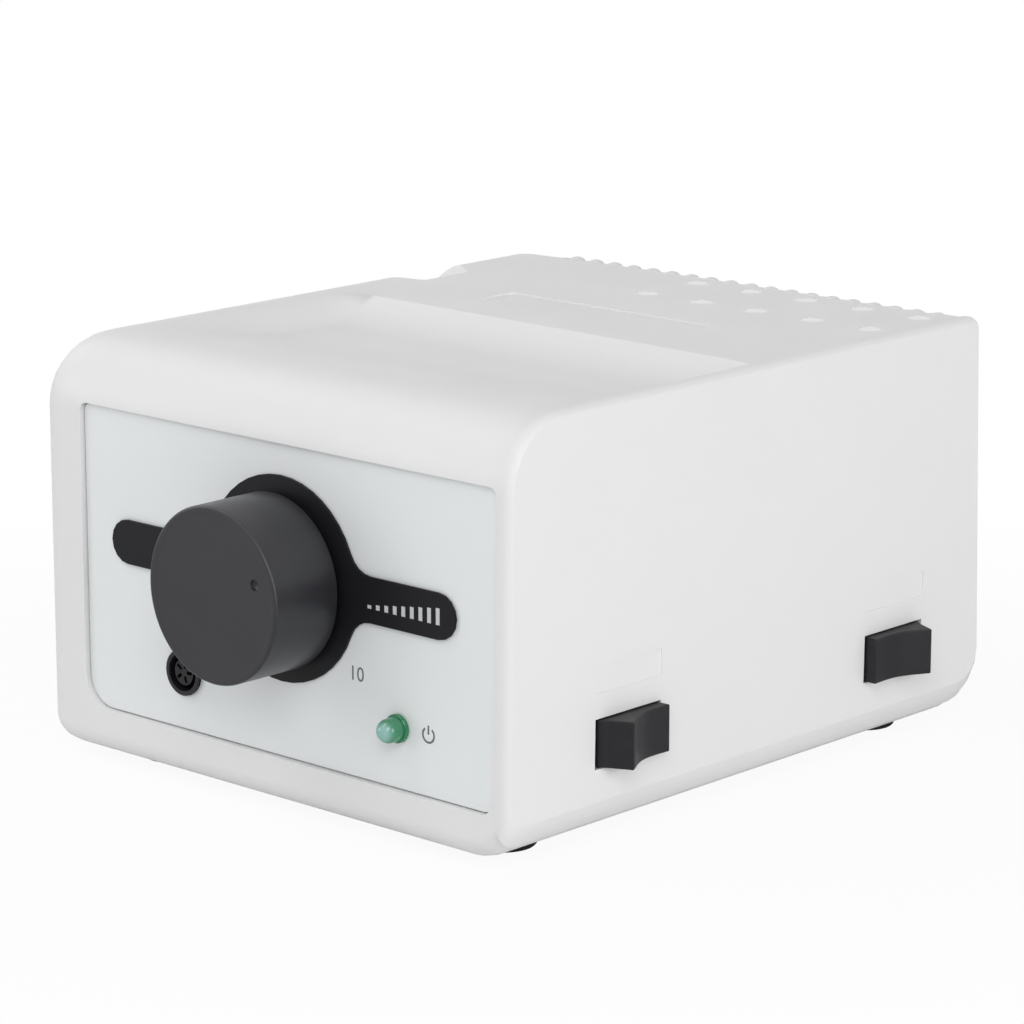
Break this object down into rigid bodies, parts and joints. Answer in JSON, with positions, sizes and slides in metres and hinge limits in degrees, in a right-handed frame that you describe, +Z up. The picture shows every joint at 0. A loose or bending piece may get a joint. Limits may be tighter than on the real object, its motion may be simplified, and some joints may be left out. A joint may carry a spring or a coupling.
{
  "type": "dental lab micromotor control box",
  "caption": "White table-top control box with a round speed knob, a handpiece socket, side rocker switches, a tool tray and a vented back edge.",
  "frame": {"origin": "on the table, at the centre of the bounding box", "axes": "+Z up, +X towards the side with the rocker switches, +Y towards the back with the mains inlet"},
  "size_m": [0.1472, 0.1798, 0.0925],
  "materials": {
    "white_abs": "moulded white ABS with a fine grain",
    "panel_print": "pale grey-green printed sheet, satin",
    "black_label": "black printed plate",
    "knob_black": "dark charcoal moulded plastic",
    "black_plastic": "black moulded plastic",
    "green_lens": "clear green moulded lens",
    "rubber": "black moulded rubber",
    "steel": "bright turned steel",
    "zinc_steel": "zinc-plated steel",
    "core_steel": "stacked dark steel laminations",
    "copper_tape": "copper winding under yellow tape",
    "aluminium": "extruded aluminium",
    "board_green": "glass-epoxy board with green solder mask",
    "capacitor_sleeve": "dark blue sleeve",
    "brass": "nickel-free turned brass",
    "glass": "clear glass tube"
  },
  "bodies": {
    "box": {"board_post_1": "brass", "board_post_2": "brass", "board_post_3": "brass", "board_post_4": "brass", "board_screw_1": "zinc_steel", "board_screw_2": "zinc_steel", "board_screw_3": "zinc_steel", "board_screw_4": "zinc_steel", "bridge_rectifier": "black_plastic", "capacitor_left": "capacitor_sleeve", "capacitor_right": "capacitor_sleeve", "chassis_plate": "zinc_steel", "circuit_board": "board_green", "foot_control_jack": "black_plastic", "front_left_foot": "rubber", "front_left_foot_screw": "zinc_steel", "front_panel": "panel_print", "front_right_foot": "rubber", "front_right_foot_screw": "zinc_steel", "front_rocker_pin": "steel", "front_strap_screw": "zinc_steel", "front_switch_body": "black_plastic", "fuse_holder": "black_plastic", "fuse_tube": "glass", "heat_sink": "aluminium", "inlet_earth_blade": "brass", "inlet_line_blade": "brass", "inlet_neutral_blade": "brass", "knob_badge": "black_label", "lamp_holder": "black_plastic", "main_housing": "white_abs", "mains_inlet": "black_plastic", "motor_socket_core": "black_plastic", "motor_socket_nut": "zinc_steel", "motor_socket_shell": "black_plastic", "potentiometer_body": "zinc_steel", "potentiometer_nut": "brass", "potentiometer_washer": "zinc_steel", "power_lamp": "green_lens", "power_light_lens": "green_lens", "power_transistor": "black_plastic", "rear_left_foot": "rubber", "rear_left_foot_screw": "zinc_steel", "rear_right_foot": "rubber", "rear_right_foot_screw": "zinc_steel", "rear_rocker_pin": "steel", "rear_strap_screw": "zinc_steel", "rear_switch_body": "black_plastic", "relay": "black_plastic", "right_side_cover": "white_abs", "transformer_coil": "copper_tape", "transformer_core": "core_steel", "transformer_strap": "zinc_steel"},
    "knob": {"speed_knob": "knob_black", "knob_grub_screw": "steel", "potentiometer_shaft": "steel"},
    "front_rocker_body": {"front_rocker": "black_plastic"},
    "rear_rocker_body": {"rear_rocker": "black_plastic"},
    "fuse_cap_body": {"fuse_cap": "black_plastic"}
  },
  "joints": [
    {"name": "knob_turn", "type": "hinge", "parent": "box", "child": "knob", "pos_m": [0.00353, -0.08129, 0.0506], "axis": [0, -1, 0], "range_deg": [-79.5, 220.5]},
    {"name": "front_rocker_tilt", "type": "hinge", "parent": "box", "child": "front_rocker_body", "pos_m": [0.06303, -0.03619, 0.02285], "axis": [0, 0, 1], "range_deg": [-26.6, 0]},
    {"name": "rear_rocker_tilt", "type": "hinge", "parent": "box", "child": "rear_rocker_body", "pos_m": [0.06303, 0.05041, 0.02285], "axis": [0, 0, 1], "range_deg": [0, 26.6]},
    {"name": "fuse_cap_turn", "type": "hinge", "parent": "box", "child": "fuse_cap_body", "pos_m": [-0.01006, 0.08118, 0.0295], "axis": [0, 0.9988, 0.049], "range_deg": [0, 90]}
  ]
}
